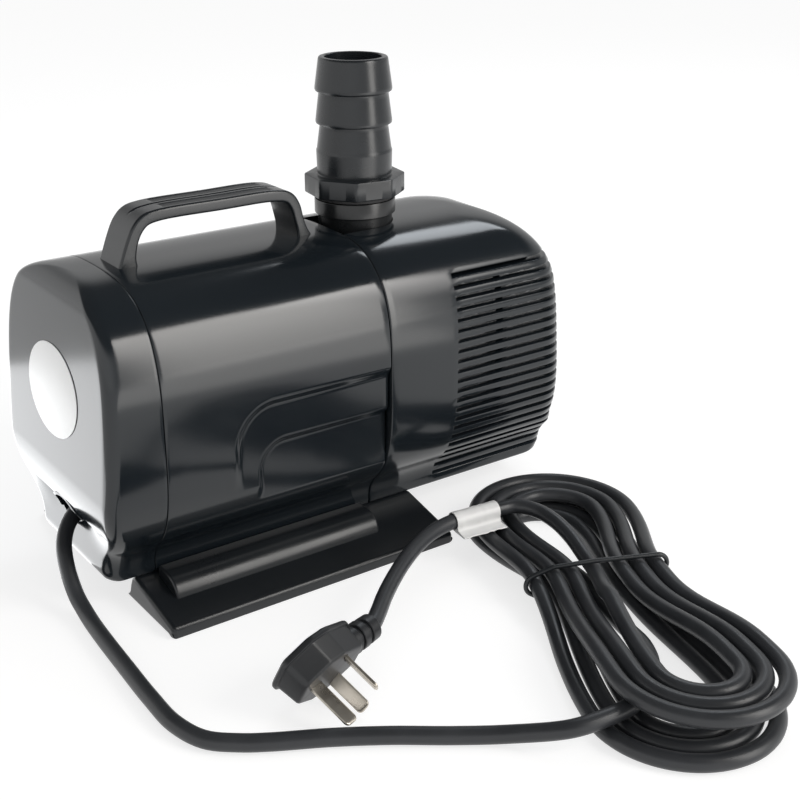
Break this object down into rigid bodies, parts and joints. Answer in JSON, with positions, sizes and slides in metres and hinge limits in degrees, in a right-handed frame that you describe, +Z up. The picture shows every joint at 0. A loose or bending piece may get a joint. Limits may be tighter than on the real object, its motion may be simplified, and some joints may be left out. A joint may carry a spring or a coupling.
{
  "type": "fountain submersible pump",
  "caption": "Submersible fountain pump: black cased motor, slotted strainer, upright barbed hose tail, handle, base and a tied cord with plug.",
  "frame": {"origin": "on the floor under the middle of the pump's box, cord and plug left out", "axes": "+X from the rear cover to the strainer, +Y across the pump, +Z up along the outlet"},
  "size_m": [0.2861, 0.3639, 0.235],
  "materials": {
    "rear_cover": "glossy",
    "rating_label": "satin",
    "motor_casing": "glossy",
    "strainer_cover": "glossy",
    "base_stand": "satin",
    "screw_steel": "plain",
    "inner_plastic": "satin",
    "stator_iron": "laminated",
    "winding": "enamelled copper",
    "potting_resin": "satin",
    "seal_rubber": "matte",
    "shaft_steel": "ground",
    "magnet": "sintered ferrite",
    "bearing": "ceramic",
    "impeller": "satin",
    "volute": "satin",
    "hose_tail": "satin",
    "cord_rubber": "matte",
    "cord_tie": "satin",
    "cord_tape": "satin",
    "plug_body": "satin",
    "plug_pin": "nickel plated"
  },
  "bodies": {
    "pump": {"rear_cover": "rear_cover", "rating_label": "rating_label", "motor_casing": "motor_casing", "strainer_cover": "strainer_cover", "base_stand": "base_stand", "base_screw_1": "screw_steel", "base_screw_2": "screw_steel", "base_screw_3": "screw_steel", "base_screw_4": "screw_steel", "motor_can": "inner_plastic", "stator_core": "stator_iron", "winding_front": "winding", "winding_rear": "winding", "potting_cap": "potting_resin", "cord_gland": "seal_rubber", "rear_bearing": "bearing", "front_bearing": "bearing", "bearing_plate": "inner_plastic", "volute_seal": "seal_rubber", "volute": "volute", "volute_screw_1": "screw_steel", "volute_screw_2": "screw_steel", "volute_screw_3": "screw_steel", "volute_screw_4": "screw_steel", "power_cord_lead": "cord_rubber", "power_cord_hank": "cord_rubber", "power_cord_tail": "cord_rubber", "cord_tie": "cord_tie", "cord_tape": "cord_tape", "plug_body": "plug_body", "plug_pin_earth": "plug_pin", "plug_pin_a": "plug_pin", "plug_pin_b": "plug_pin"},
    "rotor": {"rotor_shaft": "shaft_steel", "rotor_magnet": "magnet", "thrust_washer": "bearing", "impeller": "impeller"},
    "gasket": {"outlet_gasket": "seal_rubber"},
    "hose_tail": {"hose_tail": "hose_tail"}
  },
  "joints": [
    {"name": "rotor_spin", "type": "hinge", "parent": "pump", "child": "rotor", "pos_m": [0.00414, 0, 0.08], "axis": [1, 0, 0], "continuous": true},
    {"name": "hose_tail_lift", "type": "slide", "parent": "pump", "child": "gasket", "axis": [0, 0, 1], "range_m": [0, 0.01386]},
    {"name": "hose_tail_turn", "type": "hinge", "parent": "gasket", "child": "hose_tail", "pos_m": [0.03414, 0, 0.166], "axis": [0, 0, 1], "range_deg": [0, 2160]}
  ],
  "couplings": [
    {"joint": "hose_tail_lift", "follows": "hose_tail_turn", "m_per_rad": 0.00036749}
  ]
}
